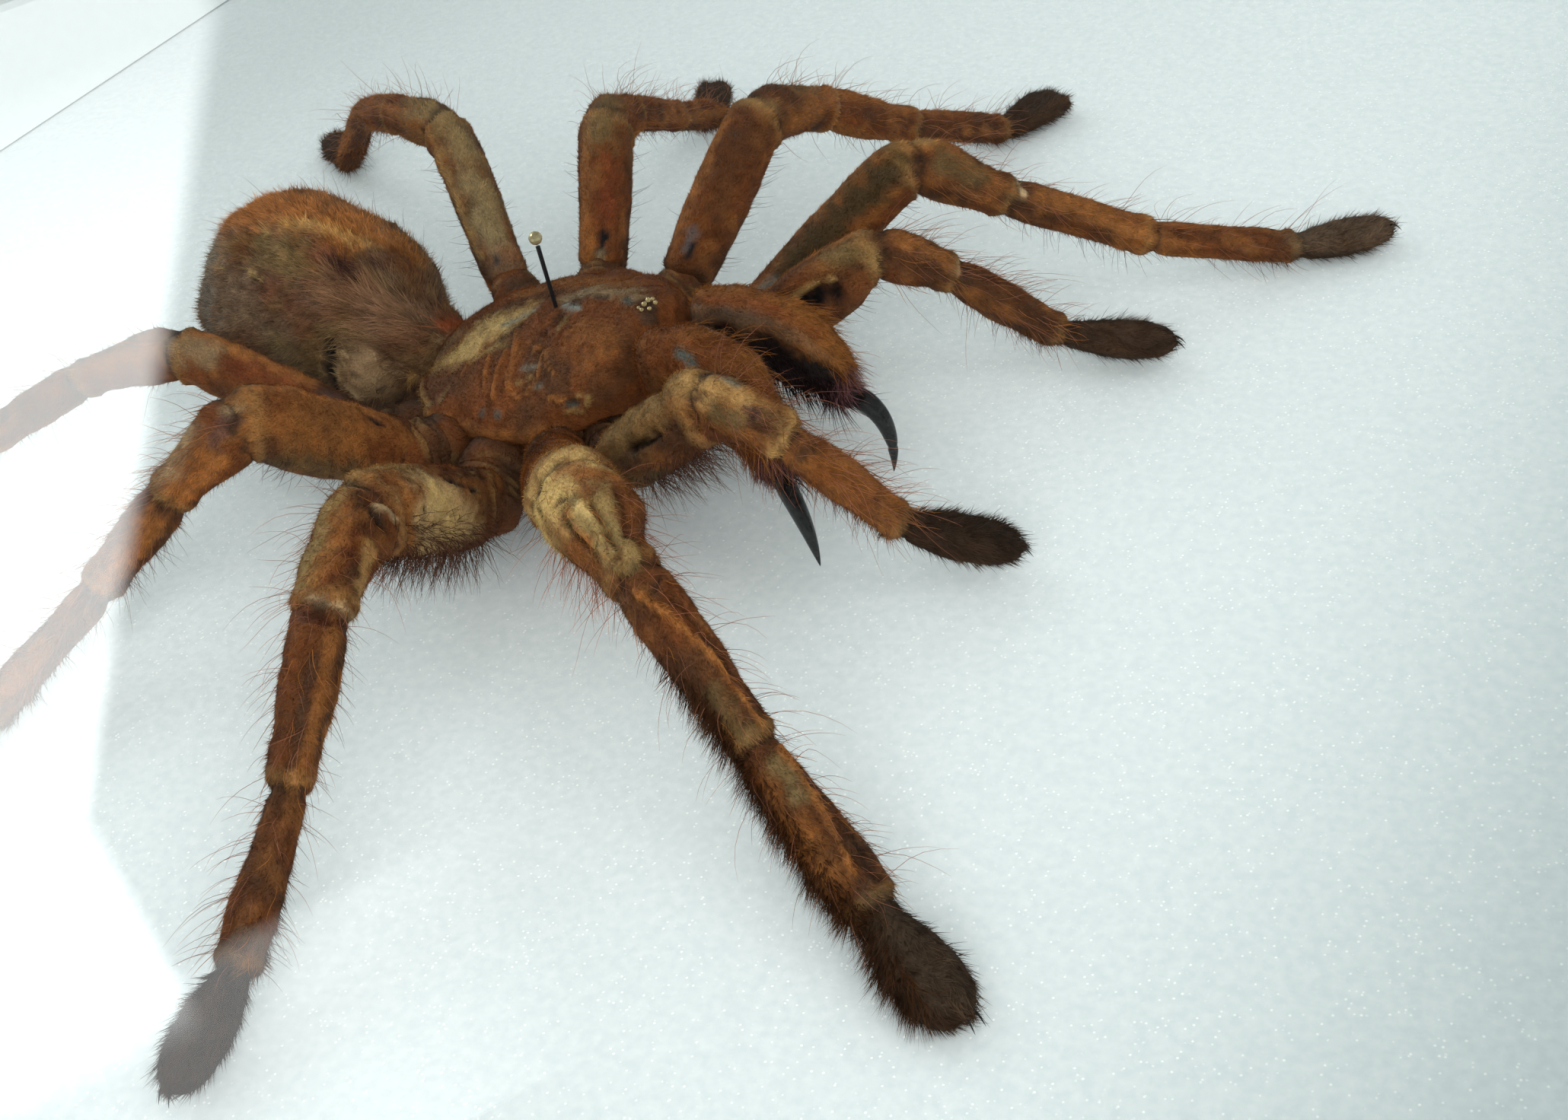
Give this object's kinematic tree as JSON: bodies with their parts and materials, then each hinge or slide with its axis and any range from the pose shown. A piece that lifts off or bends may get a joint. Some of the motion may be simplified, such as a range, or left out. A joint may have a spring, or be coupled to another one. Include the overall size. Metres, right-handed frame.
{
  "type": "framed tarantula specimen",
  "caption": "Dried, pinned tarantula spider with rust-brown hair, spread on a white board inside a square white shadow-box frame with a glass front.",
  "frame": {"origin": "centre of the frame's back, on the plane the frame lies on", "axes": "+Z out of the frame's back through its glass, +X the way the spider's head points, +Y towards the spider's left legs"},
  "size_m": [0.34, 0.34, 0.064],
  "materials": {
    "white_paint": "wood painted satin white",
    "hardboard": "plain brown hardboard",
    "white_foam": "white foam board with a fine sparkling grain",
    "clear_glass": "thin clear picture glass",
    "rust_hair": "short rust-brown velvet hair with long bristles",
    "brown_hair": "mottled grey-brown matted hair",
    "black_horn": "glossy black horn",
    "black_steel": "black enamelled steel",
    "gold_bead": "polished pale gold"
  },
  "bodies": {
    "root": {"frame_rail_front": "white_paint", "frame_rail_right": "white_paint", "frame_rail_back": "white_paint", "frame_rail_left": "white_paint", "back_panel": "hardboard", "mounting_board": "white_foam", "spacer_front": "white_foam", "spacer_back": "white_foam", "spacer_left": "white_foam", "spacer_right": "white_foam", "glass_pane": "clear_glass", "cephalothorax": "rust_hair", "abdomen": "brown_hair", "spinneret_left": "brown_hair", "spinneret_right": "brown_hair", "chelicera_left": "rust_hair", "chelicera_right": "rust_hair", "fang_left": "black_horn", "fang_right": "black_horn", "leg_1_left": "rust_hair", "leg_1_right": "rust_hair", "leg_2_left": "rust_hair", "leg_2_right": "rust_hair", "leg_3_left": "rust_hair", "leg_3_right": "rust_hair", "leg_4_left": "rust_hair", "leg_4_right": "rust_hair", "palp_left": "rust_hair", "palp_right": "rust_hair", "pin_shaft": "black_steel", "pin_head": "gold_bead"}
  },
  "joints": []
}
